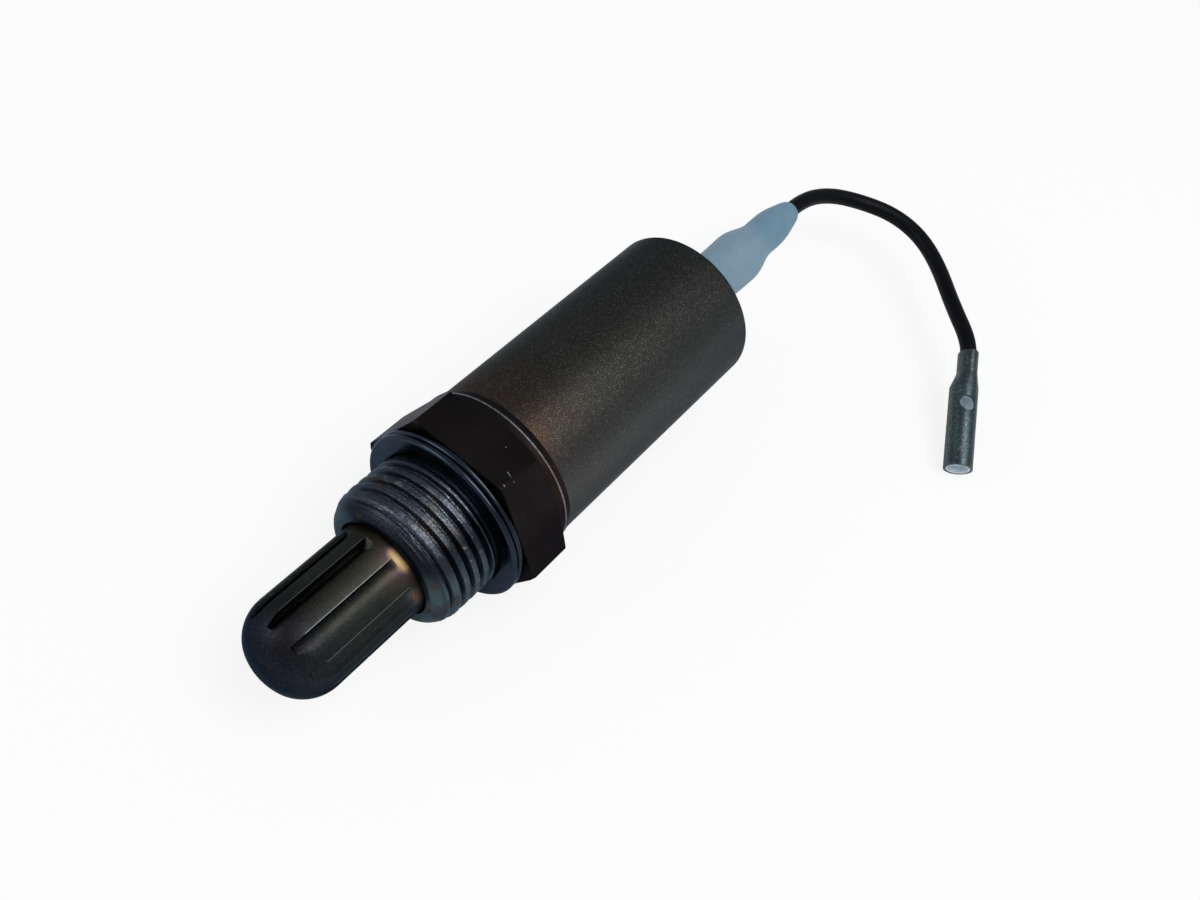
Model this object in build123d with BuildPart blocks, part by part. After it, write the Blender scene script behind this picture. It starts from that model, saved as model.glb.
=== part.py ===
"""Single-wire exhaust oxygen sensor, in millimetres.

+X runs along the sensor's axis, from the tip of its protection tube to its lead, and +Z is up,
square to a flat of the hexagon. The origin is on the axis, in the plane of the seal ring's
front face, where the sensor bears on its boss.
"""

import os
from math import acos, cos, pi, radians, sin, sqrt, tan

from build123d import *

os.makedirs("parts", exist_ok=True)

# Fits
turned_gap = 0.05  # radial clearance between turned pieces
loose_gap = 0.10  # radial clearance of the ceramics and of what they clamp
lead_gap = 0.03  # radial clearance of the lead in its grommet, and of strands in their crimps
overcut = 2.0  # how far a cut reaches past the metal

# Seal ring, folded from sheet
seal_thickness = 1.6
seal_overhang = 0.15  # beyond the hexagon's flats
seal_sheet = 0.36
seal_layers = 4

# Housing
thread_d = 18.0
hex_land = 2.0  # from the thread's crests to the hexagon's flats
hex_height = 6.3
hex_front_chamfer = 0.45
hex_rear_drop = 0.65  # how much shorter the corners are than the flats at the rear
shank_reach = 10.6  # from the hexagon's front face to the nose
nose_land = 0.6  # width of the nose's flat face
nose_length = 3.6
nose_clearance = 0.35  # round the protection tube
relief_depth = 0.4  # of the groove behind the thread, in which the seal ring is captive
relief_land = 0.2  # from the groove's front edge to the seal ring
shoulder_width = 0.55  # step between the nose's bore and the core's
shoulder_reach = 6.0  # from the hexagon's front face to the inner shoulder
collar_wall = 0.3  # round the sleeve
collar_length = 1.2
lip_length = 1.0
lip_edge = 0.10
spigot_height = 3.1  # above the rear of the hexagon

# Protection tube
tube_d = 12.0
tube_wall = 0.5
tube_reach = 27.9  # from the hexagon's front face to the tip
tube_corner_r = 4.95
tube_cap_r = 7.75

# Louvres
louvre_count = 10
louvre_nose_gap = 0.9  # from the nose to the louvres' rear ends
louvre_tip_gap = 2.0  # from the tube's tip to their front ends
louvre_turn = 18.5  # degrees from cut edge to hinge
louvre_depth = 1.15
louvre_ramp = 48.0  # degrees, slope of the closed ends

# Ceramic sensing thimble and its seat ring
seat_ring_thickness = 0.7
seat_ring_clearance = 0.9  # round the thimble's neck
thimble_collar_length = 7.4
thimble_neck_d = 8.6
thimble_tip_d = 6.4
thimble_tip_gap = 3.1  # inside the protection tube's tip
thimble_wall = 1.05

# Contact element
contact_flange_inset = 0.6  # inside the thimble's collar
contact_flange = 0.8
contact_wall = 0.3
contact_slot = 0.4
contact_slots = 6
contact_depth = 8.0
stud_d = 2.0
stud_length = 8.0

# Insulating tube
insulator_step_height = 0.7  # from its foot to its body
insulator_head_gap = 0.7  # inside the sleeve
insulator_head_length = 6.5
insulator_bore_d = 3.5
insulator_socket_depth = 10.0

# Protective sleeve and disc spring
sleeve_inset = 0.4  # inside the hexagon's flats
sleeve_wall = 0.6
sleeve_length = 39.1
sleeve_corner_r = 0.7
spring_height = 1.4
spring_sheet = 0.6
spring_clearance = 0.5  # round the grommet's flange
spring_inset = 0.1  # inside the insulating tube's head

# Grommet
grommet_neck_d = 6.8
grommet_flange_d = 9.0
grommet_flange = 1.3
grommet_tail_d = 7.0
grommet_root_d = 7.0
grommet_barrel_d = 7.6
grommet_barrel_length = 13.0
grommet_waist_d = 5.4
grommet_waist_reach = 19.0
grommet_waist_length = 3.6
grommet_waist_taper = 0.05
grommet_tip_d = 3.9
grommet_tip_length = 1.4
grommet_length = 27.6
grommet_mouth_d = 2.8

# Lead, ferrule and strands
lead_d = 2.3
lead_run_out = 3.0  # straight stretch in line with the connector
ferrule_wall = 0.35
ferrule_gap = 1.0  # between the stud and the strands
strands_d = 1.4
strands_length = 4.5
stud_overlap = 5.5

# Butt connector at the lead's far end
connector_d = 4.0
connector_bore_d = 3.0
connector_length = 17.8
connector_bore_depth = 11.6
connector_barrel = 12.2
neck_length = 3.2
neck_width = 2.7
neck_height = 3.8
neck_offset = -0.25  # of the squeezed neck, sideways from the barrel's axis
sight_hole_d = 2.2
sight_hole_reach = 9.4
connector_tilt = 16.0  # degrees, wire end up
connector_heading = 31.0  # degrees from +X towards +Y, from the open end to the wire end
connector_open_xy = (60.8, -41.4)

# Diameters that fit on or in each other
hex_af = thread_d + 2 * hex_land
relief_d = thread_d - 2 * relief_depth
seal_d = hex_af + 2 * seal_overhang
sleeve_d = hex_af - 2 * sleeve_inset
nose_bore_d = tube_d + 2 * nose_clearance
nose_face_d = nose_bore_d + 2 * nose_land
core_bore_d = nose_bore_d + 2 * shoulder_width
foot_d = core_bore_d - 2 * loose_gap
insulator_d = foot_d + 2 * insulator_step_height
insulator_head_d = sleeve_d - 2 * (sleeve_wall + insulator_head_gap)
contact_flange_d = foot_d - 2 * contact_flange_inset
seat_ring_bore_d = thimble_neck_d + 2 * seat_ring_clearance
spring_bore_d = grommet_flange_d + 2 * spring_clearance
spring_d = insulator_head_d - 2 * spring_inset

# Stations along the axis
hex_front = seal_thickness
hex_rear = hex_front + hex_height
nose = hex_front - shank_reach
shoulder = hex_front - shoulder_reach
tip = hex_front - tube_reach
louvre_rear = nose - louvre_nose_gap
louvre_front = tip + louvre_tip_gap
thimble_tip = tip + tube_wall + thimble_tip_gap
collar_end = hex_rear + collar_length
sleeve_seat = hex_rear + lip_edge
sleeve_end = sleeve_seat + sleeve_length
flange_rear = shoulder + tube_wall
thimble_front = flange_rear + seat_ring_thickness
thimble_rear = thimble_front + thimble_collar_length
insulator_front = thimble_rear + contact_flange
wall_inside = sleeve_end - sleeve_wall
insulator_rear = wall_inside - spring_height
grommet_mouth = sleeve_end + grommet_length
floor_z = -seal_d / 2


def turned(outline, mode=Mode.ADD):
    """Turn a closed outline of (station, radius) points about the sensor's axis."""
    with BuildSketch(Plane.XY) as profile:
        with BuildLine():
            Polyline(*outline, close=True)
        make_face()
    revolve(profile.sketch, axis=Axis.X, mode=mode)


# Seal ring: one strip folded to and fro, so that its rim shows two round folds
with BuildPart() as seal_ring:
    pitch = (seal_thickness - seal_sheet) / (seal_layers - 1)
    fold_r = pitch / 2
    outer = seal_d / 2 - seal_sheet / 2 - fold_r
    inner = relief_d / 2 + turned_gap + seal_sheet / 2 + fold_r
    layers = [seal_sheet / 2 + pitch * k for k in range(seal_layers)]
    with BuildSketch(Plane.XY):
        with BuildLine():
            for x in layers:
                Line((x, inner), (x, outer))
            for x in layers[:-1:2]:
                ThreePointArc((x, outer), (x + fold_r, outer + fold_r), (x + pitch, outer))
            for x in layers[1:-1:2]:
                ThreePointArc((x, inner), (x + fold_r, inner - fold_r), (x + pitch, inner))
        trace(line_width=seal_sheet)
    revolve(axis=Axis.X)
seal_ring.part.label = "seal_ring"

# Housing: nose, shank, hexagon, collar and the lip that holds the sleeve, turned in one piece
with BuildPart() as housing:
    with BuildSketch(Plane.YZ.offset(hex_front)):
        RegularPolygon(hex_af / 2, 6, major_radius=False, rotation=0)
    extrude(amount=hex_height)
    corner_r = hex_af / 2 / cos(radians(30))
    front_r = corner_r - hex_front_chamfer / tan(radians(30))
    turned(
        [
            (hex_front, 0),
            (hex_front, front_r),
            (hex_front + hex_front_chamfer, corner_r),
            (hex_rear - hex_rear_drop, corner_r),
            (hex_rear, hex_af / 2),
            (hex_rear, 0),
        ],
        mode=Mode.INTERSECT,
    )
    with BuildSketch(Plane.XY):
        with BuildLine():
            shank_r = thread_d / 2
            Line((nose, 0), (nose, nose_face_d / 2))
            EllipticalCenterArc(
                (nose + nose_length, nose_face_d / 2),
                nose_length,
                shank_r - nose_face_d / 2,
                start_angle=90,
                arc_size=90,
            )
            Polyline(
                (nose + nose_length, shank_r),
                (-relief_land, shank_r),
                (-relief_land, relief_d / 2),
                (hex_front, relief_d / 2),
                (hex_front, 0),
                (nose, 0),
            )
        make_face()
    revolve(axis=Axis.X)
    groove_r = sleeve_d / 2 + turned_gap
    spigot_r = sleeve_d / 2 - sleeve_wall - turned_gap
    turned(
        [
            (hex_rear, 0),
            (hex_rear, groove_r + collar_wall),
            (collar_end, groove_r + collar_wall),
            (collar_end + lip_length, groove_r + lip_edge),
            (collar_end + lip_length, groove_r),
            (sleeve_seat, groove_r),
            (sleeve_seat, spigot_r),
            (hex_rear + spigot_height, spigot_r),
            (hex_rear + spigot_height, 0),
        ]
    )
    turned(
        [(nose, 0), (nose, nose_bore_d / 2), (shoulder, nose_bore_d / 2), (shoulder, 0)],
        mode=Mode.SUBTRACT,
    )
    bore_end = hex_rear + spigot_height
    turned(
        [(shoulder, 0), (shoulder, core_bore_d / 2), (bore_end, core_bore_d / 2), (bore_end, 0)],
        mode=Mode.SUBTRACT,
    )
housing.part.label = "housing"

# Protection tube: a drawn cup with a clamping flange and lanced louvres, each cut along one
# long side, hinged along the other, pressed inward and closed at both ends
tube_r = tube_d / 2
cap_centre = tip + tube_cap_r
corner_height = tube_r - tube_corner_r
corner_centre = cap_centre - sqrt((tube_cap_r - tube_corner_r) ** 2 - corner_height**2)
cap_turn = acos((cap_centre - corner_centre) / (tube_cap_r - tube_corner_r))


def tube_outline(skin):
    """The cup's outline from tip to flange, moved inward by a skin."""
    cap_r = tube_cap_r - skin
    corner_r = tube_corner_r - skin
    blend = (cap_centre - cap_r * cos(cap_turn), cap_r * sin(cap_turn))
    half_cap = (cap_centre - cap_r * cos(cap_turn / 2), cap_r * sin(cap_turn / 2))
    half_turn = (radians(90) + cap_turn) / 2
    bulge = (
        corner_centre - corner_r * cos(half_turn),
        corner_height + corner_r * sin(half_turn),
    )
    ThreePointArc((cap_centre - cap_r, 0), half_cap, blend)
    ThreePointArc(blend, bulge, (corner_centre, tube_r - skin))
    Line((corner_centre, tube_r - skin), (flange_rear, tube_r - skin))
    Line((flange_rear, tube_r - skin), (flange_rear, 0))
    Line((flange_rear, 0), (cap_centre - cap_r, 0))


def louvre_space(skin):
    """The space that one louvre takes out of the wall, grown inward by a skin of metal."""
    cut = Vector(tube_r - louvre_depth, 0)
    turn = radians(louvre_turn)
    hinge = Vector(tube_r * cos(turn), tube_r * sin(turn))
    along = (hinge - cut).normalized()
    inward = Vector(-along.Y, along.X) * skin
    low = cut - Vector(skin / along.Y, 0)
    high = hinge + along * overcut + inward
    outside = tube_r + overcut
    length = louvre_rear - louvre_front
    slope = tan(radians(louvre_ramp))
    grow = skin / sin(radians(louvre_ramp))
    drop = 2 * louvre_depth + skin
    with BuildPart() as space:
        with BuildSketch(Plane.YZ.offset(louvre_front - length / 2)):
            with BuildLine():
                Polyline((low.X, 0), (outside, 0), (outside, high.Y), (high.X, high.Y), close=True)
            make_face()
        extrude(amount=2 * length)
        with BuildSketch(Plane.XY):
            with BuildLine():
                Polyline(
                    (louvre_front - grow - overcut / slope, outside),
                    (louvre_front - grow + drop / slope, tube_r - drop),
                    (louvre_rear + grow - drop / slope, tube_r - drop),
                    (louvre_rear + grow + overcut / slope, outside),
                    close=True,
                )
            make_face()
        extrude(amount=tube_r, both=True, mode=Mode.INTERSECT)
    return space.part


pocket = louvre_space(0)
pressing = louvre_space(tube_wall)
louvre_turns = [360 / louvre_count * k for k in range(louvre_count)]

with BuildPart() as tube_hollow:
    with BuildSketch(Plane.XY):
        with BuildLine():
            tube_outline(tube_wall)
        make_face()
    revolve(axis=Axis.X)
    for angle in louvre_turns:
        add(pressing.rotate(Axis.X, angle), mode=Mode.SUBTRACT)

with BuildPart() as protection_tube:
    with BuildSketch(Plane.XY):
        with BuildLine():
            tube_outline(0)
        make_face()
    revolve(axis=Axis.X)
    turned(
        [
            (shoulder, 0),
            (shoulder, foot_d / 2),
            (flange_rear, foot_d / 2),
            (flange_rear, 0),
        ]
    )
    for angle in louvre_turns:
        add(pocket.rotate(Axis.X, angle), mode=Mode.SUBTRACT)
    add(tube_hollow, mode=Mode.SUBTRACT)
protection_tube.part.label = "protection_tube"

# Seat ring: the soft metal ring under the thimble's collar
with BuildPart() as seat_ring:
    turned(
        [
            (flange_rear, seat_ring_bore_d / 2),
            (flange_rear, foot_d / 2),
            (thimble_front, foot_d / 2),
            (thimble_front, seat_ring_bore_d / 2),
        ]
    )
    fillet(seat_ring.edges(), seat_ring_thickness / 4)
seat_ring.part.label = "seat_ring"

# Sensing thimble: closed ceramic cup with a clamping collar
neck_r = thimble_neck_d / 2
tip_r = thimble_tip_d / 2
bore_rear_r = neck_r - thimble_wall
bore_tip_r = tip_r - thimble_wall
with BuildPart() as sensor_ceramic:
    with BuildSketch(Plane.XY):
        with BuildLine():
            Polyline(
                (thimble_tip + tip_r, tip_r),
                (thimble_front, neck_r),
                (thimble_front, foot_d / 2),
                (thimble_rear, foot_d / 2),
                (thimble_rear, bore_rear_r),
                (thimble_front, bore_rear_r),
                (thimble_tip + tip_r, bore_tip_r),
            )
            ThreePointArc(
                (thimble_tip + tip_r, bore_tip_r),
                (thimble_tip + tip_r - bore_tip_r * cos(radians(45)), bore_tip_r * sin(radians(45))),
                (thimble_tip + thimble_wall, 0),
            )
            Line((thimble_tip + thimble_wall, 0), (thimble_tip, 0))
            ThreePointArc(
                (thimble_tip, 0),
                (thimble_tip + tip_r - tip_r * cos(radians(45)), tip_r * sin(radians(45))),
                (thimble_tip + tip_r, tip_r),
            )
        make_face()
    revolve(axis=Axis.X)
sensor_ceramic.part.label = "sensor_ceramic"

# Contact element: flange, hollow stem down the thimble's bore, and a stud for the ferrule
stem_r = bore_rear_r - loose_gap
with BuildPart() as contact_element:
    turned(
        [
            (insulator_front - contact_depth, stem_r - contact_wall),
            (insulator_front - contact_depth, stem_r),
            (thimble_rear, stem_r),
            (thimble_rear, contact_flange_d / 2),
            (insulator_front, contact_flange_d / 2),
            (insulator_front, stud_d / 2),
            (insulator_front + stud_length, stud_d / 2),
            (insulator_front + stud_length, 0),
            (thimble_rear, 0),
            (thimble_rear, stem_r - contact_wall),
        ]
    )
    with BuildSketch(Plane.YZ.offset(insulator_front - contact_depth)):
        with PolarLocations(thimble_neck_d / 2, contact_slots):
            Rectangle(thimble_neck_d, contact_slot)
    extrude(amount=contact_depth / 2, mode=Mode.SUBTRACT)
contact_element.part.label = "contact_element"

# Insulating tube: its foot clamps the contact element, its head centres it in the sleeve
insulator_step = bore_end + loose_gap
with BuildPart() as insulating_tube:
    bore_r = insulator_bore_d / 2
    socket_r = grommet_tail_d / 2 + loose_gap
    turned(
        [
            (insulator_front, bore_r),
            (insulator_front, foot_d / 2),
            (insulator_step, foot_d / 2),
            (insulator_step, insulator_d / 2),
            (insulator_rear - insulator_head_length, insulator_d / 2),
            (insulator_rear - insulator_head_length, insulator_head_d / 2),
            (insulator_rear, insulator_head_d / 2),
            (insulator_rear, socket_r),
            (insulator_rear - insulator_socket_depth, socket_r),
            (insulator_rear - insulator_socket_depth, bore_r),
        ]
    )
insulating_tube.part.label = "insulating_tube"

# Disc spring: cone washer between the insulating tube and the sleeve's end wall
with BuildPart() as disc_spring:
    rise = spring_height - spring_sheet
    turned(
        [
            (insulator_rear, spring_bore_d / 2),
            (insulator_rear + spring_sheet, spring_bore_d / 2),
            (wall_inside, spring_d / 2),
            (insulator_rear + rise, spring_d / 2),
        ]
    )
disc_spring.part.label = "disc_spring"

# Protective sleeve: deep-drawn cup whose rim is crimped into the housing
with BuildPart() as protective_sleeve:
    with BuildSketch(Plane.YZ.offset(sleeve_seat)):
        Circle(sleeve_d / 2)
    extrude(amount=sleeve_length)
    fillet(protective_sleeve.edges().group_by(Axis.X)[-1], sleeve_corner_r)
    with BuildSketch(Plane.YZ.offset(sleeve_seat)):
        Circle(sleeve_d / 2 - sleeve_wall)
    extrude(amount=sleeve_length - sleeve_wall, mode=Mode.SUBTRACT)
    with BuildSketch(Plane.YZ.offset(sleeve_seat)):
        Circle(grommet_neck_d / 2 + turned_gap)
    extrude(amount=sleeve_length, mode=Mode.SUBTRACT)
protective_sleeve.part.label = "protective_sleeve"

# Grommet: soft bush that grips the lead, buttoned into the sleeve's end wall
with BuildPart() as grommet:
    tail = insulator_rear - insulator_socket_depth + loose_gap
    flange_front = wall_inside - grommet_flange
    barrel_end = sleeve_end + grommet_barrel_length
    waist = sleeve_end + grommet_waist_reach
    waist_r = grommet_waist_d / 2
    with BuildSketch(Plane.XY):
        with BuildLine():
            Polyline(
                (tail, lead_d / 2 + lead_gap),
                (tail, grommet_tail_d / 2),
                (flange_front, grommet_tail_d / 2),
                (flange_front, grommet_flange_d / 2),
                (wall_inside, grommet_flange_d / 2),
                (wall_inside, grommet_neck_d / 2),
                (sleeve_end, grommet_neck_d / 2),
                (sleeve_end, grommet_root_d / 2),
                (barrel_end, grommet_barrel_d / 2),
            )
            Spline(
                (barrel_end, grommet_barrel_d / 2),
                ((barrel_end + waist) / 2, (grommet_barrel_d / 2 + waist_r) / 2),
                (waist, waist_r),
                tangents=[(1, 0), (1, 0)],
            )
            Spline(
                (waist, waist_r),
                (waist + grommet_waist_length, waist_r - grommet_waist_taper),
                (grommet_mouth - grommet_tip_length, grommet_tip_d / 2),
                (grommet_mouth, grommet_mouth_d / 2),
                tangents=[(1, 0), (1, -1)],
            )
            Polyline(
                (grommet_mouth, grommet_mouth_d / 2),
                (grommet_mouth, lead_d / 2 + lead_gap),
                (tail, lead_d / 2 + lead_gap),
            )
        make_face()
    revolve(axis=Axis.X)
grommet.part.label = "grommet"

# Ferrule: crimped on the strands and pushed over the contact element's stud
stud_end = insulator_front + stud_length
ferrule_front = stud_end - stud_overlap
ferrule_rear = stud_end + ferrule_gap + strands_length
with BuildPart() as ferrule:
    grip_r = stud_d / 2 + lead_gap
    strand_r = strands_d / 2 + lead_gap
    outer_r = grip_r + ferrule_wall
    turned(
        [
            (ferrule_front, grip_r),
            (ferrule_front, outer_r),
            (ferrule_rear, outer_r),
            (ferrule_rear, strand_r),
            (stud_end + loose_gap, strand_r),
            (stud_end + loose_gap, grip_r),
        ]
    )
ferrule.part.label = "ferrule"

with BuildPart() as inner_strands:
    with BuildSketch(Plane.YZ.offset(ferrule_rear - strands_length)):
        Circle(strands_d / 2)
    extrude(amount=strands_length)
inner_strands.part.label = "inner_strands"

# The lead's hidden stretch, from the ferrule to the grommet's mouth
with BuildPart() as inner_lead:
    with BuildSketch(Plane.YZ.offset(ferrule_rear)):
        Circle(lead_d / 2)
    extrude(amount=grommet_mouth - ferrule_rear)
inner_lead.part.label = "inner_lead"

# Butt connector: a plated tube, squeezed onto the lead's strands from one side
tilt = radians(connector_tilt)
heading = radians(connector_heading)
connector_axis = Vector(cos(tilt) * cos(heading), cos(tilt) * sin(heading), sin(tilt))
connector_side = Vector(-sin(heading), cos(heading), 0)
open_end = Vector(*connector_open_xy, floor_z + connector_d / 2 * cos(tilt))
connector_plane = Plane(origin=open_end, x_dir=connector_side, z_dir=connector_axis)
neck_start = connector_length - neck_length
with BuildPart() as butt_connector:
    with BuildSketch(connector_plane):
        Circle(connector_d / 2)
    extrude(amount=connector_barrel)
    with BuildSketch(connector_plane.offset(connector_barrel)):
        Circle(connector_d / 2)
    with BuildSketch(connector_plane.offset(neck_start)):
        with Locations((neck_offset, 0)):
            Ellipse(neck_width / 2, neck_height / 2)
    loft()
    with BuildSketch(connector_plane.offset(neck_start)):
        with Locations((neck_offset, 0)):
            Ellipse(neck_width / 2, neck_height / 2)
    extrude(amount=neck_length)
    with BuildSketch(connector_plane):
        Circle(connector_bore_d / 2)
    extrude(amount=connector_bore_depth, mode=Mode.SUBTRACT)
    with BuildSketch(connector_plane.offset(connector_length - strands_length)):
        with Locations((neck_offset, 0)):
            Circle(strands_d / 2 + lead_gap)
    extrude(amount=strands_length, mode=Mode.SUBTRACT)
    sight = Plane(
        origin=connector_plane.from_local_coords((0, 0, sight_hole_reach)),
        x_dir=connector_axis,
        z_dir=connector_plane.y_dir,
    )
    with BuildSketch(sight):
        Circle(sight_hole_d / 2)
    extrude(amount=connector_d, both=True, mode=Mode.SUBTRACT)
butt_connector.part.label = "butt_connector"

with BuildPart() as end_strands:
    with BuildSketch(connector_plane.offset(connector_length - strands_length)):
        with Locations((neck_offset, 0)):
            Circle(strands_d / 2)
    extrude(amount=strands_length)
end_strands.part.label = "end_strands"

# The free lead: straight out of the grommet, round and down to the connector's neck
lead_start = Vector(grommet_mouth, 0, 0)
lead_end = connector_plane.from_local_coords((neck_offset, 0, connector_length))
lead_route = [
    lead_start,
    Vector(80.0, 0, 0),
    Vector(84.6, -2.3, -1.3),
    Vector(88.4, -6.5, -2.2),
    Vector(90.4, -12.3, -2.5),
    Vector(89.1, -18.2, -3.1),
    Vector(85.0, -22.8, -3.4),
    Vector(81.1, -27.4, -3.5),
    lead_end + connector_axis * lead_run_out,
    lead_end,
]
arc_share = 0.45  # how much of its shorter run each arc of the lead takes up
lead_radii = []
for before, point, after in zip(lead_route, lead_route[1:], lead_route[2:]):
    turn = radians((point - before).get_angle(after - point))
    run = min((point - before).length, (after - point).length)
    lead_radii.append(arc_share * run / tan(turn / 2))
print("lead radii", [round(r, 1) for r in lead_radii])

with BuildPart() as lead:
    with BuildLine() as lead_path:
        FilletPolyline(*lead_route, radius=lead_radii)
    with BuildSketch(Plane(origin=lead_start, z_dir=(1, 0, 0))):
        Circle(lead_d / 2)
    sweep(path=lead_path.wires()[0])
lead.part.label = "lead"
lead_length = lead_path.wires()[0].length
section = pi * lead_d**2 / 4
print("lead length", round(lead_length, 2), "volume over section", round(lead.part.volume / section, 2))

pieces = [
    seal_ring,
    housing,
    protection_tube,
    seat_ring,
    sensor_ceramic,
    contact_element,
    insulating_tube,
    disc_spring,
    protective_sleeve,
    grommet,
    ferrule,
    inner_strands,
    inner_lead,
    butt_connector,
    end_strands,
    lead,
]
for piece in pieces:
    export_step(piece.part, f"parts/{piece.part.label}.step")
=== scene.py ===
"""Looks of the single-wire exhaust oxygen sensor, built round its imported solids.

Everything is in metres in the solids' own frame: +X runs along the sensor's axis from its tip to
its lead, +Z is up, and the origin is on the axis in the plane of the seal ring's front face.
Profiles are written in millimetres, as (station along the axis, radius).
"""

from math import atan2, cos, pi, radians, sin, sqrt, tan

import bmesh
import bpy
from mathutils import Matrix, Vector, noise


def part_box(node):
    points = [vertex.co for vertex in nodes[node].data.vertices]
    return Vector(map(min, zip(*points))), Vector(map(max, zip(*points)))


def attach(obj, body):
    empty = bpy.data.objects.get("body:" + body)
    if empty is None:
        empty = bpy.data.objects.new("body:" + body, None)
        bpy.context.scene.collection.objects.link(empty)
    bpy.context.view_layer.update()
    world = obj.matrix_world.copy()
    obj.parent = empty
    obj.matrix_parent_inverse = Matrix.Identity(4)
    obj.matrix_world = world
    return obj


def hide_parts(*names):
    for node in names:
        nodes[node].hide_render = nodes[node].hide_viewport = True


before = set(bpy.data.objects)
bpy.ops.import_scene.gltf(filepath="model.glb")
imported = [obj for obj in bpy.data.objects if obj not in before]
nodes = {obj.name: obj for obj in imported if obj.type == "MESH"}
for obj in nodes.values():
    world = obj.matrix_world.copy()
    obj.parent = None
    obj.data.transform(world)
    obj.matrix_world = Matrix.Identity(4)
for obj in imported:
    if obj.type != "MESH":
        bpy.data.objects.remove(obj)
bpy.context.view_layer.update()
scene = bpy.context.scene
MM = 0.001


# ---------------------------------------------------------------- camera

camera_place = Vector((-57.337, -41.909, 115.313)) * MM
camera_aim = Vector((20.687, -6.952, 0)) * MM
camera_roll = 17.82  # degrees, right side up
camera_lens = 35.71


def make_camera():
    """Look down on the sensor from its tip's side."""
    data = bpy.data.cameras.new("camera")
    data.lens = camera_lens
    data.clip_start = 0.005
    data.clip_end = 20
    camera = bpy.data.objects.new("camera", data)
    look = (camera_aim - camera_place).to_track_quat("-Z", "Y").to_matrix().to_4x4()
    camera.matrix_world = (
        Matrix.Translation(camera_place) @ look @ Matrix.Rotation(radians(camera_roll), 4, "Z")
    )
    scene.collection.objects.link(camera)
    scene.camera = camera


# ---------------------------------------------------------------- shader helpers


def feed(tree, socket, value):
    """Link an input to another node's output, or set its own value."""
    if isinstance(value, bpy.types.NodeSocket):
        tree.links.new(value, socket)
    else:
        socket.default_value = value


def put(tree, kind, inputs=None, **settings):
    """Add a node with its settings, link inputs given as sockets and set the others."""
    node = tree.nodes.new(kind)
    for name, value in settings.items():
        setattr(node, name, value)
    for name, value in (inputs or {}).items():
        feed(tree, node.inputs[name], value)
    return node


def calc(tree, operation, first, second=0.0, third=0.0):
    """One Math node's result."""
    node = put(tree, "ShaderNodeMath", {0: first, 1: second, 2: third}, operation=operation)
    return node.outputs[0]


def times(tree, first, second):
    """The product of two values."""
    return calc(tree, "MULTIPLY", first, second)


def opposite(tree, share):
    """What a share leaves of 1."""
    return calc(tree, "SUBTRACT", 1.0, share)


def more_of(tree, first, second):
    """The larger of two values."""
    return calc(tree, "MAXIMUM", first, second)


def spread(tree, value, span, start):
    """A value times a span, on top of a start."""
    return calc(tree, "MULTIPLY_ADD", value, span, start)


def share_along(tree, value, start, end):
    """How far a value has come from start to end, from 0 to 1."""
    span = {"Value": value, "From Min": start, "From Max": end}
    return put(tree, "ShaderNodeMapRange", span).outputs["Result"]


def smooth_step(tree, value, start, end):
    """0 before start, 1 after end, and smooth between them."""
    node = put(
        tree,
        "ShaderNodeMapRange",
        {"Value": value, "From Min": start, "From Max": end},
        interpolation_type="SMOOTHSTEP",
    )
    return node.outputs["Result"]


def blend_colour(tree, share, first, second):
    """Mix two colours, given as sockets or as linear red, green, blue."""
    node = put(tree, "ShaderNodeMix", data_type="RGBA")
    for index, value in ((0, share), (6, first), (7, second)):
        feed(tree, node.inputs[index], (*value, 1) if isinstance(value, tuple) else value)
    return node.outputs[2]


def noise_share(tree, scale, detail, vector=None, **inputs):
    """A Noise texture's value, over object coordinates in millimetres or a vector of its own."""
    if vector is None:
        vector = millimetres(tree)
    named = {"Vector": vector, "Scale": scale, "Detail": detail, **inputs}
    return put(tree, "ShaderNodeTexNoise", named).outputs["Fac"]


def colour_run(tree, value, stops):
    """A colour ramp of (position, linear red, green, blue) stops."""
    node = put(tree, "ShaderNodeValToRGB", {"Fac": value})
    ramp = node.color_ramp
    ramp.interpolation = "B_SPLINE"
    while len(ramp.elements) < len(stops):
        ramp.elements.new(0.5)
    for element, (position, *colour) in zip(ramp.elements, stops):
        element.position = position
        element.color = (*colour, 1)
    return node.outputs["Color"]


def group_tree(name, inputs, outputs):
    """An empty node group whose inputs and outputs are given as {name: kind of socket}."""
    tree = bpy.data.node_groups.new(name, "ShaderNodeTree")
    for way, sockets in (("INPUT", inputs), ("OUTPUT", outputs)):
        for label, kind in sockets.items():
            tree.interface.new_socket(label, in_out=way, socket_type=f"NodeSocket{kind}")
    return tree, tree.nodes.new("NodeGroupInput"), tree.nodes.new("NodeGroupOutput")


def give(tree, end, **results):
    """Link a group's results to its outputs."""
    for name, value in results.items():
        tree.links.new(value, end.inputs[name])


def use(tree, group, **inputs):
    """Place a node group with its own values."""
    return put(tree, "ShaderNodeGroup", inputs, node_tree=group).outputs


def millimetres(tree):
    """Object coordinates in millimetres."""
    place = put(tree, "ShaderNodeTexCoord").outputs["Object"]
    node = put(tree, "ShaderNodeVectorMath", {0: place, "Scale": 1 / MM}, operation="SCALE")
    return node.outputs["Vector"]


# ---------------------------------------------------------------- places that finishes refer to

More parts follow.
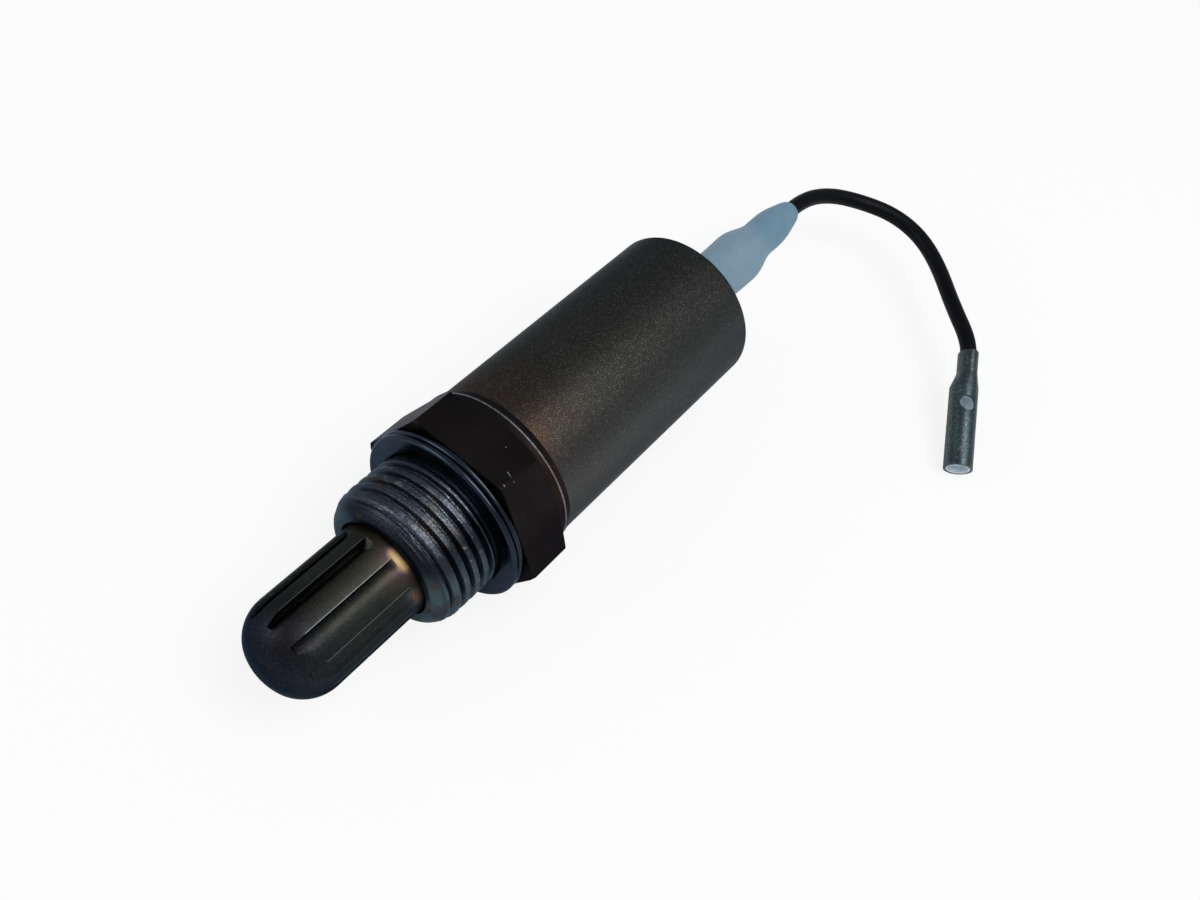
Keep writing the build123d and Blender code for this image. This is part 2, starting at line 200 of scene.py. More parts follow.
# Stations, radii, heights and sides in millimetres. A pair is where a change starts and ends.
tube_r = 6.0
tube_round_station = -21.15  # centre of the round between the tube's wall and its cap
tube_round_height = 1.05
tube_skin = (tube_r - 0.08, tube_r - 0.02)
tube_stations = (-27.0, -8.5)
# Side span of painted shade on the tube's -Y flank.
tube_flank = (-2.0, -5.5)
louvre_count = 10
louvre_front = -24.3
louvre_rear = -9.9
louvre_run_in = 1.5
louvre_run_out = 0.5
louvre_start = 0.006  # where the first louvre is cut, in louvres back from +Y
# Where the painted highlight along each cut edge and the painted shade in the slot beside it lie.
louvre_rim = (0.970, 0.990)  # this and the next two in shares of a louvre's width
louvre_slot = (0.03, 0.30)
louvre_hollow = (0.12, 0.56)
tube_root = (louvre_rear, louvre_rear + 0.6)
# Side span of painted shade on the seal ring's -Y flank and of a painted brown reflection on the
# collar's.
ring_flank = (-3.0, -8.0)  # seal ring and collar
collar_front = (7.7, 8.3)
collar_skin = (10.8, 10.9)
collar_end = 9.1
# Band beside the collar's end, bare and carrying a painted highlight.
collar_edge = (0.04, 0.16)  # bare band beside the collar's end
# Heights over which painted shade darkens the hexagon's lower faces.
hexagon_low = (6.5, 3.0)
# Radii over which the roots' painted shade gives way to the crests' coat.
thread_skin = (8.15, 8.55)
# Radii above which painted glints lie on the crest tops.
thread_tops = (8.90, 8.98)
# Side span of painted shade on the thread's -Y flank.
thread_side = (-2.5, -6.5)
# Heights over which painted light lightens the thread's coat towards the bottom.
thread_low = (6.0, 3.0)
nose_end = (-8.6, -7.4)
sleeve_stations = (6.0, 48.0)
# Side span of painted light on the sleeve's -Y flank.
sleeve_flank = (-4.0, -10.5)
grommet_tail = (60.0, 67.0)

# Each a line from one point to another, in millimetres
root_glow = ((-9.3, -1.6, 5.8), (-9.3, -3.2, 5.1))
low_glow = ((-9.9, -5.5, 2.4), (-9.5, -5.8, 1.6))
# Line along which a highlight is painted on the thread's coat.
painted_highlight_line = ((-9.0, -0.6, 8.5), (-3.5, -1.8, 8.8))
# Axis of the connector's bore, whose wall is painted near white as painted light.
wire_socket = ((60.8, -41.4, -9.23), (70.3, -35.7, -6.05))
hexagon_nicks = (  # and each one's width
    ((3.8, -5.1, 11.0), (3.3, -6.6, 10.9), 0.045),
    ((2.3, -5.9, 11.0), (2.1, -6.3, 10.9), 0.05),
    ((6.1, -2.8, 11.0), (6.1, -2.9, 11.0), 0.04),
)


# ---------------------------------------------------------------- shared effects


def make_axis_place():
    """Where a point lies on the turned part: its station and radius, and its side and height."""
    outputs = dict.fromkeys(("Station", "Radius", "Side", "Height"), "Float")
    tree, _, end = group_tree("axis_place", {}, outputs)
    split = put(tree, "ShaderNodeSeparateXYZ", {"Vector": millimetres(tree)})
    side, height = split.outputs["Y"], split.outputs["Z"]
    squares = spread(tree, side, side, times(tree, height, height))
    radius = calc(tree, "SQRT", squares)
    give(tree, end, Station=split.outputs["X"], Radius=radius, Side=side, Height=height)
    return tree


def make_grain():
    """Fine cast or blasted grain: its height, a few lighter grains that the finishes paint bright,
    partly as painted glints, and a slow drift.
    """
    outputs = dict.fromkeys(("Height", "Sparkle", "Drift"), "Float")
    tree, start, end = group_tree("grain", {"Size": "Float", "Glitter": "Float"}, outputs)
    place = millimetres(tree)
    scale = calc(tree, "DIVIDE", 1.0, start.outputs["Size"])
    cells = put(tree, "ShaderNodeTexVoronoi", {"Vector": place, "Scale": scale}, feature="F1")
    rough = noise_share(tree, scale, 4.0, place)
    bumps = opposite(tree, cells.outputs["Distance"])
    height = spread(tree, bumps, 0.55, times(tree, rough, 0.45))
    pick = put(tree, "ShaderNodeSeparateColor", {"Color": cells.outputs["Color"]})
    dull = opposite(tree, start.outputs["Glitter"])
    # The grains picked here are painted bright: lighter grains, with painted glints on top of them.
    grain_and_glint = smooth_step(tree, pick.outputs["Red"], dull, 1.0)
    drift = noise_share(tree, 0.22, 3.0, place)
    give(tree, end, Height=height, Sparkle=grain_and_glint, Drift=drift)
    return tree


def make_scuffs():
    """Sparse fine scratches and soft smudges, as masks."""
    outputs = {"Scratch": "Float", "Smudge": "Float"}
    tree, start, end = group_tree("scuffs", {"Amount": "Float"}, outputs)
    place = millimetres(tree)
    line_half = 0.006
    lines = []
    for turn, seed in ((0.5, 0.0), (1.7, 13.0), (2.6, 29.0)):
        spun = put(
            tree,
            "ShaderNodeMapping",
            {"Vector": place, "Location": (seed, seed, 0), "Rotation": (turn, turn / 2, turn)},
        )
        stretch = {0: spun.outputs["Vector"], 1: (0.25, 3.0, 3.0)}
        long = put(tree, "ShaderNodeVectorMath", stretch, operation="MULTIPLY")
        streak = noise_share(tree, 1.0, 2.0, long.outputs["Vector"])
        line = calc(tree, "ABSOLUTE", calc(tree, "SUBTRACT", streak, 0.5))
        lines.append(opposite(tree, smooth_step(tree, line, 0.0, line_half)))
    any_line = more_of(tree, more_of(tree, lines[0], lines[1]), lines[2])
    patch = noise_share(tree, 0.35, 2.0, place)
    threshold = calc(tree, "SUBTRACT", 0.85, times(tree, start.outputs["Amount"], 0.4))
    gate = smooth_step(tree, patch, threshold, 0.9)
    smudge = noise_share(tree, 0.5, 5.0, place, Roughness=0.6)
    give(tree, end, Scratch=times(tree, any_line, gate), Smudge=smudge)
    return tree


def make_lathe_marks():
    """Fine turning marks that run round the axis."""
    tree, start, end = group_tree("lathe_marks", {"Fineness": "Float"}, {"Height": "Float"})
    place = use(tree, axis_place)
    ring = put(tree, "ShaderNodeCombineXYZ", {"X": place["Station"], "Y": place["Radius"]})
    marks = noise_share(tree, start.outputs["Fineness"], 3.0, ring.outputs["Vector"])
    give(tree, end, Height=marks)
    return tree


def make_near():
    """How close a point lies to a straight line between two places in millimetres: 1 on it."""
    inputs = {"From": "Vector", "To": "Vector", "Reach": "Float", "Soft": "Float"}
    tree, start, end = group_tree("near", inputs, {"Mask": "Float"})
    first, last = start.outputs["From"], start.outputs["To"]

    def vector(operation, *values):
        named = dict(enumerate(values))
        return put(tree, "ShaderNodeVectorMath", named, operation=operation).outputs

    line = vector("SUBTRACT", last, first)["Vector"]
    off = vector("SUBTRACT", millimetres(tree), first)["Vector"]
    reached = vector("DOT_PRODUCT", off, line)["Value"]
    whole = vector("DOT_PRODUCT", line, line)["Value"]
    along = calc(tree, "DIVIDE", reached, whole)
    share = put(tree, "ShaderNodeClamp", {"Value": along}).outputs["Result"]
    nearest = put(tree, "ShaderNodeVectorMath", {0: line, "Scale": share}, operation="SCALE")
    gap = vector("LENGTH", vector("SUBTRACT", off, nearest.outputs["Vector"])["Vector"])["Value"]
    reach = start.outputs["Reach"]
    far = calc(tree, "ADD", reach, start.outputs["Soft"])
    give(tree, end, Mask=opposite(tree, smooth_step(tree, gap, reach, far)))
    return tree


def make_louvre_place():
    """Where a point lies on the tube's louvres: the cut edge, which gets a painted highlight, the
    slot beside it, which gets painted shade, how much of the pressed form shows, and the normal of
    the tube's round, which it eases into."""
    outputs = {"Edge": "Float", "Slot": "Float", "Pressed": "Float", "Round": "Vector"}
    tree, _, end = group_tree("louvre_place", {}, outputs)
    place = use(tree, axis_place)
    station, side, height = place["Station"], place["Side"], place["Height"]
    turn = calc(tree, "ARCTAN2", height, side)
    phase = calc(tree, "FRACT", spread(tree, turn, louvre_count / (2 * pi), louvre_start))
    within = times(
        tree,
        smooth_step(tree, station, louvre_front, louvre_front + louvre_run_in),
        opposite(tree, smooth_step(tree, station, louvre_rear - louvre_run_out, louvre_rear)),
    )
    # Painted highlight along each louvre's cut edge.
    rim = times(tree, smooth_step(tree, phase, *louvre_rim), within)
    edge = times(tree, rim, smooth_step(tree, place["Radius"], *tube_skin))
    # Painted shade in the slot beside each cut edge.
    slot = times(tree, opposite(tree, smooth_step(tree, phase, *louvre_slot)), within)
    hollow = opposite(tree, smooth_step(tree, phase, *louvre_hollow))
    root = smooth_step(tree, station, *tube_root)
    pressed = more_of(tree, more_of(tree, times(tree, hollow, 0.7), rim), root)
    share = opposite(tree, calc(tree, "DIVIDE", tube_round_height, place["Radius"]))
    way = put(
        tree,
        "ShaderNodeCombineXYZ",
        {
            "X": calc(tree, "MINIMUM", calc(tree, "SUBTRACT", station, tube_round_station), 0.0),
            "Y": times(tree, side, share),
            "Z": times(tree, height, share),
        },
    )
    unit = put(tree, "ShaderNodeVectorMath", {0: way.outputs["Vector"]}, operation="NORMALIZE")
    give(tree, end, Edge=edge, Slot=slot, Pressed=pressed, Round=unit.outputs["Vector"])
    return tree


# ---------------------------------------------------------------- finishes


def new_finish(name, metallic=1.0, **constants):
    """A material with one Principled shader, whose even values are set on its own sockets."""
    material = bpy.data.materials.new(name)
    material.use_nodes = True
    tree = material.node_tree
    tree.nodes.clear()
    shader = put(tree, "ShaderNodeBsdfPrincipled", {"Metallic": metallic})
    for label, value in constants.items():
        shader.inputs[label.replace("_", " ")].default_value = value
    out = put(tree, "ShaderNodeOutputMaterial")
    tree.links.new(shader.outputs["BSDF"], out.inputs["Surface"])
    return material, tree, shader


def set_skin(tree, shader, tint, rough):
    """Link a finish's colour and roughness to its shader."""
    tree.links.new(tint, shader.inputs["Base Color"])
    tree.links.new(rough, shader.inputs["Roughness"])


def set_bump(tree, shader, height, strength, depth, under=None):
    """Feed a height to the shader through a Bump node, over the surface or over given normals."""
    inputs = {"Height": height, "Strength": strength, "Distance": depth * MM}
    bump = put(tree, "ShaderNodeBump", inputs)
    if under is not None:
        tree.links.new(under, bump.inputs["Normal"])
    tree.links.new(bump.outputs["Normal"], shader.inputs["Normal"])


def eased_normal(tree, louvre):
    """The tube's normal, eased towards its round where the louvres run out, but not where a face
    stands steep to the round."""
    pressed = put(tree, "ShaderNodeNewGeometry").outputs["Normal"]
    agree = put(
        tree, "ShaderNodeVectorMath", {0: pressed, 1: louvre["Round"]}, operation="DOT_PRODUCT"
    )
    steep = opposite(tree, smooth_step(tree, agree.outputs["Value"], 0.45, 0.75))
    kept = more_of(tree, louvre["Pressed"], steep)
    form = put(tree, "ShaderNodeMix", {0: kept}, data_type="VECTOR")
    tree.links.new(louvre["Round"], form.inputs[4])
    tree.links.new(pressed, form.inputs[5])
    return put(
        tree, "ShaderNodeVectorMath", {0: form.outputs[1]}, operation="NORMALIZE"
    ).outputs["Vector"]


def tempered_steel():
    """Smooth drawn steel with dark temper colours and gold where it enters the housing, with
    painted shade towards its -Y flank and in the louvres' slots, and painted highlights along the
    louvres' cut edges.
    """
    material, tree, shader = new_finish("tempered_steel", Specular_Tint=(0.42, 0.47, 0.53, 1))
    place = use(tree, axis_place)
    skin = use(tree, grain, Size=0.09, Glitter=0.3)
    scuff = use(tree, scuffs, Amount=0.3)
    louvre = use(tree, louvre_place)
    station = calc(tree, "ADD", place["Station"], spread(tree, skin["Drift"], 6.0, -3.0))
    tint = colour_run(
        tree,
        share_along(tree, station, *tube_stations),
        [
            (0.0, 0.013, 0.016, 0.022),
            (0.12, 0.016, 0.016, 0.021),
            (0.25, 0.019, 0.018, 0.022),
            (0.42, 0.028, 0.030, 0.022),
            (0.7, 0.034, 0.034, 0.024),
            (0.86, 0.030, 0.034, 0.031),
            (0.95, 0.040, 0.033, 0.024),
            (1.0, 0.032, 0.026, 0.020),
        ],
    )
    # Painted shade: darker towards the -Y flank.
    flank = smooth_step(tree, place["Side"], *tube_flank)
    tint = blend_colour(tree, times(tree, flank, 0.5), tint, (0.022, 0.028, 0.031))
    for line, reach, colour in (
        (root_glow, 4.2, (0.066, 0.052, 0.033)),
        (root_glow, 1.8, (0.085, 0.050, 0.080)),
        (root_glow, 0.9, (0.44, 0.31, 0.14)),
        (low_glow, 1.5, (0.040, 0.066, 0.075)),
        (low_glow, 1.0, (0.15, 0.092, 0.056)),
    ):
        glow = use(tree, near, From=line[0], To=line[1], Reach=reach * 0.15, Soft=reach)["Mask"]
        tint = blend_colour(tree, times(tree, glow, 0.85), tint, colour)
    # Painted highlights along the louvres' cut edges, with real scratches and lighter grains
    # painted bright, partly as painted glints.
    bright = more_of(tree, times(tree, louvre["Edge"], 0.8), times(tree, scuff["Scratch"], 0.4))
    bright = more_of(tree, bright, times(tree, skin["Sparkle"], 0.12))
    # Painted shade in the slot beside each cut edge.
    tint = blend_colour(tree, times(tree, louvre["Slot"], 0.75), tint, (0.006, 0.007, 0.008))
    worn = blend_colour(tree, bright, tint, (0.18, 0.20, 0.22))
    set_skin(tree, shader, worn, spread(tree, scuff["Smudge"], 0.2, 0.36))
    set_bump(tree, shader, skin["Height"], 0.3, 0.008, eased_normal(tree, louvre))
    return material


def zinc_steel():
    """Blue-grey satin plate of the seal ring, with painted shade towards its -Y flank."""
    material, tree, shader = new_finish("zinc_steel", Specular_Tint=(0.55, 0.60, 0.68, 1))
    place = use(tree, axis_place)
    marks = use(tree, lathe_marks, Fineness=5.0)
    scuff = use(tree, scuffs, Amount=0.6)
    tint = blend_colour(tree, scuff["Smudge"], (0.020, 0.029, 0.041), (0.045, 0.058, 0.076))
    # Painted shade: darker towards the -Y flank.
    flank = smooth_step(tree, place["Side"], *ring_flank)
    tint = blend_colour(tree, times(tree, flank, 0.45), tint, (0.018, 0.024, 0.033))
    worn = blend_colour(tree, times(tree, scuff["Scratch"], 0.4), tint, (0.25, 0.28, 0.32))
    set_skin(tree, shader, worn, spread(tree, scuff["Smudge"], 0.16, 0.18))
    set_bump(tree, shader, marks["Height"], 0.2, 0.015)
    return material


def black_steel():
    """Brown-black oxide of the hexagon and collar, bare where knocked and on the collar's end,
    which also carries a painted highlight; a painted brown reflection on the collar's -Y flank and
    painted shade on the hexagon's lower faces.
    """
    material, tree, shader = new_finish("black_steel", Specular_Tint=(0.5, 0.5, 0.55, 1))
    place = use(tree, axis_place)
    skin = use(tree, grain, Size=0.2, Glitter=0.15)
    scuff = use(tree, scuffs, Amount=0.35)
    tint = blend_colour(tree, skin["Drift"], (0.011, 0.0095, 0.0085), (0.026, 0.022, 0.020))
    # Painted reflection: brown on the collar's -Y flank.
    collar = smooth_step(tree, place["Station"], *collar_front)
    flank = smooth_step(tree, place["Side"], *ring_flank)
    brown = times(tree, times(tree, collar, flank), 0.7)
    tint = blend_colour(tree, brown, tint, (0.040, 0.024, 0.018))
    # Painted shade: the hexagon's lower faces are darker.
    painted_low_shading = times(tree, smooth_step(tree, place["Height"], *hexagon_low), 0.6)
    tint = blend_colour(tree, painted_low_shading, tint, (0.008, 0.007, 0.007))
    # Painted highlight along the collar's end, broken by the grain like worn bare metal.
    off_edge = calc(tree, "ABSOLUTE", calc(tree, "SUBTRACT", place["Station"], collar_end))
    edge = opposite(tree, smooth_step(tree, off_edge, *collar_edge))
    outside = smooth_step(tree, place["Radius"], *collar_skin)
    bare_edge_painted_highlight = times(tree, times(tree, edge, outside), skin["Height"])
    # Bare metal of scratches and nicks, and the collar end's painted highlight, all in one bright
    # colour.
    bare = more_of(tree, times(tree, scuff["Scratch"], 0.5), bare_edge_painted_highlight)
    for begin, finish, width in hexagon_nicks:
        nick = use(tree, near, From=begin, To=finish, Reach=width * 0.4, Soft=width)["Mask"]
        bare = more_of(tree, bare, nick)
    worn = blend_colour(tree, bare, tint, (0.50, 0.50, 0.52))
    set_skin(tree, shader, worn, spread(tree, scuff["Smudge"], 0.22, 0.3))
    set_bump(tree, shader, skin["Height"], 0.25, 0.012)
    return material


def pasted_thread():
    """Thread and nose under a film of blue-grey anti-seize paste, with brown-gold stains; a painted
    highlight along the upper side, painted shade towards -Y and in the roots, painted light towards
    the bottom, and painted glints on the crest tops.
    """
    material, tree, shader = new_finish("pasted_thread", Specular_Tint=(0.50, 0.54, 0.60, 1))
    place = use(tree, axis_place)
    paste = use(tree, grain, Size=0.1, Glitter=0.4)
    patch = noise_share(tree, 0.33, 3.0)
    glint_patches = noise_share(tree, 1.1, 2.0)
    # Painted highlight: the coat is lighter near a line along the thread's upper side.
    first, last = painted_highlight_line
    painted_highlight = use(tree, near, From=first, To=last, Reach=0.6, Soft=5.0)["Mask"]
    # Painted shade: darker towards the -Y flank.
    painted_flank_shade = smooth_step(tree, place["Side"], *thread_side)
    nose = opposite(tree, smooth_step(tree, place["Station"], *nose_end))
    # Painted light: lighter and bluer towards the bottom.
    painted_low_shading = smooth_step(tree, place["Height"], *thread_low)
    coat = blend_colour(tree, paste["Drift"], (0.026, 0.034, 0.045), (0.062, 0.074, 0.092))
    for mask, share, colour in (
        (painted_highlight, 0.55, (0.088, 0.102, 0.126)),
        (painted_flank_shade, 0.6, (0.020, 0.024, 0.030)),
        (nose, 0.85, (0.011, 0.013, 0.017)),
        (painted_low_shading, 0.7, (0.078, 0.116, 0.136)),
    ):
        coat = blend_colour(tree, times(tree, mask, share), coat, colour)
    # Painted shade: the roots, below the crests, are darker.
    root = blend_colour(tree, paste["Drift"], (0.009, 0.010, 0.013), (0.022, 0.024, 0.028))
    crest = smooth_step(tree, place["Radius"], *thread_skin)
    tint = blend_colour(tree, more_of(tree, crest, nose), root, coat)
    stain = times(tree, smooth_step(tree, patch, 0.54, 0.66), 0.6)
    tint = blend_colour(tree, stain, tint, (0.055, 0.041, 0.025))
    # More bright grains under the painted highlight, partly as painted glints.
    off_nose = opposite(tree, times(tree, nose, 0.85))
    flecks = times(tree, paste["Sparkle"], times(tree, spread(tree, painted_highlight, 0.6, 0.12), off_nose))
    lit = blend_colour(tree, flecks, tint, (0.24, 0.26, 0.30))
    # Painted glints on the crest tops, in patches.
    top = smooth_step(tree, place["Radius"], *thread_tops)
    glint = times(tree, top, smooth_step(tree, glint_patches, 0.56, 0.64))
    lit = blend_colour(tree, times(tree, glint, 0.8), lit, (0.30, 0.32, 0.34))
    set_skin(tree, shader, lit, spread(tree, patch, 0.4, 0.18))
    set_bump(tree, shader, paste["Height"], 0.7, 0.03)
    return material


def sleeve_steel():
    """Fine granular satin skin of the sleeve, with a heat tint beside the hexagon and painted light
    that makes its -Y flank lighter.
    """
    material, tree, shader = new_finish("sleeve_steel", Specular_Tint=(0.42, 0.45, 0.48, 1))
    place = use(tree, axis_place)
    skin = use(tree, grain, Size=0.085, Glitter=0.25)
    station = calc(tree, "ADD", place["Station"], spread(tree, skin["Drift"], 16.0, -8.0))
    tint = colour_run(
        tree,
        share_along(tree, station, *sleeve_stations),
        [
            (0.0, 0.076, 0.041, 0.027),
            (0.14, 0.048, 0.037, 0.029),
            (0.35, 0.042, 0.041, 0.036),
            (1.0, 0.036, 0.038, 0.038),
        ],
    )
    # Painted light: lighter towards the -Y flank.
    flank = smooth_step(tree, place["Side"], *sleeve_flank)
    painted_flank_light = blend_colour(tree, times(tree, flank, 0.75), tint, (0.088, 0.090, 0.092))
    # Lighter grains painted bright, partly as painted glints.
    lit = blend_colour(tree, times(tree, skin["Sparkle"], 0.5), painted_flank_light, (0.22, 0.21, 0.17))
    set_skin(tree, shader, lit, spread(tree, skin["Drift"], 0.14, 0.32))
    set_bump(tree, shader, skin["Height"], 0.9, 0.018)
    return material


def pale_bush():
    """Soft, slightly translucent, pale blue-white bush."""
    material, tree, shader = new_finish(
        "pale_bush", metallic=0.0, Subsurface_Weight=0.3, Subsurface_Scale=0.0012, IOR=1.42
    )
    scuff = use(tree, scuffs, Amount=0.2)
    place = use(tree, axis_place)
    tail = smooth_step(tree, place["Station"], *grommet_tail)
    dark = blend_colour(tree, tail, (0.155, 0.240, 0.300), (0.110, 0.205, 0.275))
    light = blend_colour(tree, tail, (0.215, 0.330, 0.410), (0.165, 0.285, 0.370))
    tint = blend_colour(tree, scuff["Smudge"], dark, light)
    set_skin(tree, shader, tint, spread(tree, scuff["Smudge"], 0.2, 0.4))
    set_bump(tree, shader, scuff["Smudge"], 0.2, 0.06)
    return material


def lead_jacket():
    """Black satin jacket."""
    material, tree, shader = new_finish("lead_jacket", metallic=0.0, Specular_IOR_Level=0.09)
    skin = use(tree, grain, Size=0.4, Glitter=0.2)
    tint = blend_colour(tree, skin["Drift"], (0.001, 0.0012, 0.002), (0.003, 0.0033, 0.0045))
    set_skin(tree, shader, tint, spread(tree, skin["Drift"], 0.2, 0.32))
    set_bump(tree, shader, skin["Height"], 0.1, 0.02)
    return material


def plated_copper():
    """Dull, grained tin plate of the butt connector, with painted light inside its bore: the bore's
    wall is painted near white.
    """
    material, tree, shader = new_finish("plated_copper")
    skin = use(tree, grain, Size=0.14, Glitter=0.2)
    scuff = use(tree, scuffs, Amount=0.6)
    tint = blend_colour(tree, skin["Drift"], (0.036, 0.056, 0.060), (0.078, 0.106, 0.108))
    # Scratches, and lighter grains painted bright, partly as painted glints.
    flecks = more_of(tree, times(tree, skin["Sparkle"], 0.35), scuff["Scratch"])
    lit = blend_colour(tree, flecks, tint, (0.36, 0.40, 0.40))
    first, last = wire_socket
    # Painted light: the bore's wall is painted near white.
    bore = use(tree, near, From=first, To=last, Reach=1.55, Soft=0.1)["Mask"]
    lit = blend_colour(tree, bore, lit, (0.90, 0.96, 1.0))
    rough = spread(tree, bore, 0.3, spread(tree, scuff["Smudge"], 0.22, 0.28))
    set_skin(tree, shader, lit, rough)
    rounded_edges = put(tree, "ShaderNodeBevel", {"Radius": 0.12 * MM}, samples=6)
    set_bump(tree, shader, skin["Height"], 0.4, 0.015, rounded_edges.outputs["Normal"])
    return material


def plain_metal(name, dark, light):
    """Plain metal of the hidden pieces, with turning marks."""
    material, tree, shader = new_finish(name)
    marks = use(tree, lathe_marks, Fineness=6.0)
    tint = blend_colour(tree, marks["Height"], dark, light)
    set_skin(tree, shader, tint, spread(tree, marks["Height"], 0.2, 0.25))
    set_bump(tree, shader, marks["Height"], 0.2, 0.02)
    return material


def fired_ceramic(name, dark, light):
    """Matt fired ceramic with a fine grain."""
    material, tree, shader = new_finish(name, metallic=0.0)
    skin = use(tree, grain, Size=0.12, Glitter=0.1)
    tint = blend_colour(tree, skin["Drift"], dark, light)
    set_skin(tree, shader, tint, spread(tree, skin["Drift"], 0.2, 0.5))
    set_bump(tree, shader, skin["Height"], 0.3, 0.01)
    return material


# ---------------------------------------------------------------- pieces

sharp_angle = radians(35)
weld_gap = 1e-7  # metres
spin_weld_gap = 1e-6


def link_piece(bm, name, replaced, finishes):
    """Turn a bmesh into a piece that rides with the sensor and stands for its CAD node."""
    mesh = bpy.data.meshes.new(name)
    bmesh.ops.remove_doubles(bm, verts=bm.verts, dist=weld_gap)
    bmesh.ops.dissolve_degenerate(bm, edges=bm.edges, dist=weld_gap)
    bmesh.ops.recalc_face_normals(bm, faces=bm.faces)
    for face in bm.faces:
        face.smooth = True
    for edge in bm.edges:
        edge.smooth = len(edge.link_faces) == 2 and edge.calc_face_angle() < sharp_angle
    bm.to_mesh(mesh)
    bm.free()
    for finish in finishes:
        mesh.materials.append(finish)
    piece = bpy.data.objects.new(name, mesh)
    scene.collection.objects.link(piece)
    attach(piece, "root")
    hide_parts(replaced)


def finish_node(name, finish):
    """Give a CAD node its finish."""
    mesh = nodes[name].data
    mesh.materials.clear()
    mesh.materials.append(finish)


round_bulge = 0.29  # how near the corner a round's middle lies, as a share of its two cuts' sum


def rounded(outline, size):
    """An outline of (station, radius) points with each inner corner cut back by a small round."""
    points = [outline[0]]
    for before, here, after in zip(outline, outline[1:], outline[2:]):
        corner = Vector(here)
        inward, outward = Vector(before) - corner, Vector(after) - corner
        cut_in = inward.normalized() * min(size, inward.length / 2)
        cut_out = outward.normalized() * min(size, outward.length / 2)
        points += [corner + cut_in, corner + (cut_in + cut_out) * round_bulge, corner + cut_out]
    points.append(outline[-1])
    return [Vector(point) for point in points]


# ---------------------------------------------------------------- housing

thread_pitch = 1.5
thread_crest_r = 8.97
thread_root_r = 8.12
thread_crest_half = 0.33
thread_flank = 0.32
thread_worn = 0.55  # how far a flank's straight slope gives way to a smooth one
thread_steps = 180  # round one turn
thread_rows = 16  # across one pitch
paste_fill = 0.27  # how deep the paste lies between the ridges where it lies thickest
paste_turn = radians(30)  # where that is, from +Z towards +Y
paste_middle, paste_drift, paste_drift_scale = 0.8, 0.6, 0.3  # how uneven that fill is
paste_lumps = ((0.9, 0.05), (2.6, 0.03))  # each a scale per millimetre and a height
joint_width = 0.25  # over which paste, ridges and the nose's round run together
nose_station = -9.0
nose_face_r = 6.95
nose_bore_r = 6.35
nose_length = 3.6
nose_steps = 10
shank_r = 9.0
crest_clearance = 0.01  # keeps ridges and lumps inside the shank's wall
shank_join = -0.2  # front edge of the relief groove under the seal ring
shank_join_r = 8.6
thread_end = shank_join - 0.1
thread_fade_in = 0.3
thread_fade_out = 0.6
shoulder_station = -4.4
core_bore_r = 6.9
hex_front = 1.6
hex_rear = 7.9
hex_flat_r = 11.0
hex_front_chamfer = 0.2
hex_rear_drop = 0.65
hex_chamfer_turn = radians(30)
hex_sides = 6
hex_corner_sharpness = 500
hex_point_gap = 0.001  # keeps two points of the outline apart in the middle of a flat
collar_r = 10.95
collar_run_in = 0.6  # from the hexagon's end to the collar's full radius
lip_end = 10.1
groove_r = 10.65
lip_edge_r = 10.75
groove_floor = 8.0
spigot_r = 9.95
spigot_end = 11.0
edge_round = 0.12
lathe_steps = 360
paste_face_margin = 0.01
paste_bore_margin = 0.05


def hexagon_r(turn):
    """The hexagon's radius at a turn about the axis from +Z, with slightly worn corners."""
    flat = 2 * pi / hex_sides
    off = (turn + flat / 2) % flat - flat / 2
    beside = [cos(off + flat * k) for k in (-1, 0, 1)]
    reach = sum(max(c, 0) ** hex_corner_sharpness for c in beside)
    return hex_flat_r * reach ** (-1 / hex_corner_sharpness)


def housing_outline(flat_r):
    """The housing's outline round from the seal ring to the nose, for a hexagon of one radius."""
    corner_r = hex_flat_r / cos(pi / hex_sides)
    front_r = min(flat_r, corner_r - hex_front_chamfer / tan(hex_chamfer_turn))
    front = hex_front + (flat_r - front_r) * tan(hex_chamfer_turn)
    rear = hex_rear - hex_rear_drop * (flat_r - hex_flat_r) / (corner_r - hex_flat_r)
    outline = [
        (shank_join, shank_join_r),
        (hex_front, shank_join_r),
        (hex_front, front_r),
        (front, flat_r),
        (rear, flat_r),
        (hex_rear, hex_flat_r - hex_point_gap),
        (hex_rear + collar_run_in, collar_r),
        (collar_end, collar_r),
        (lip_end, lip_edge_r),
        (lip_end, groove_r),
        (groove_floor, groove_r),
        (groove_floor, spigot_r),
        (spigot_end, spigot_r),
        (spigot_end, core_bore_r),
        (shoulder_station, core_bore_r),
        (shoulder_station, nose_bore_r),
        (nose_station, nose_bore_r),
    ]
    return rounded(outline, edge_round)


def nose_arc():
    """The nose's face and its round, up to the root of the thread."""
    depth = shank_r - nose_face_r
    top = sqrt(1 - ((thread_root_r - nose_face_r) / depth) ** 2)
    start, end = pi / 2, atan2(top, sqrt(1 - top * top))
    points = []
    for k in range(nose_steps + 1):
        turn = start + (end - start) * k / nose_steps
        station = nose_station + nose_length * (1 - sin(turn))
        points.append(Vector((station, nose_face_r + depth * cos(turn))))
    return points


def clamp(share):
    """A share kept between 0 and 1."""
    return max(0.0, min(1.0, share))


def eased(share):
    """A share from 0 to 1 that starts and ends level."""
    return share * share * (3 - 2 * share)


def thread_r(off_crest):
    """The thread's radius at a distance from its nearest crest, with worn, coated edges."""
    climb = clamp((thread_crest_half + thread_flank - off_crest) / thread_flank)
    share = (1 - thread_worn) * climb + thread_worn * eased(climb)
    return thread_root_r + (thread_crest_r - thread_root_r) * share


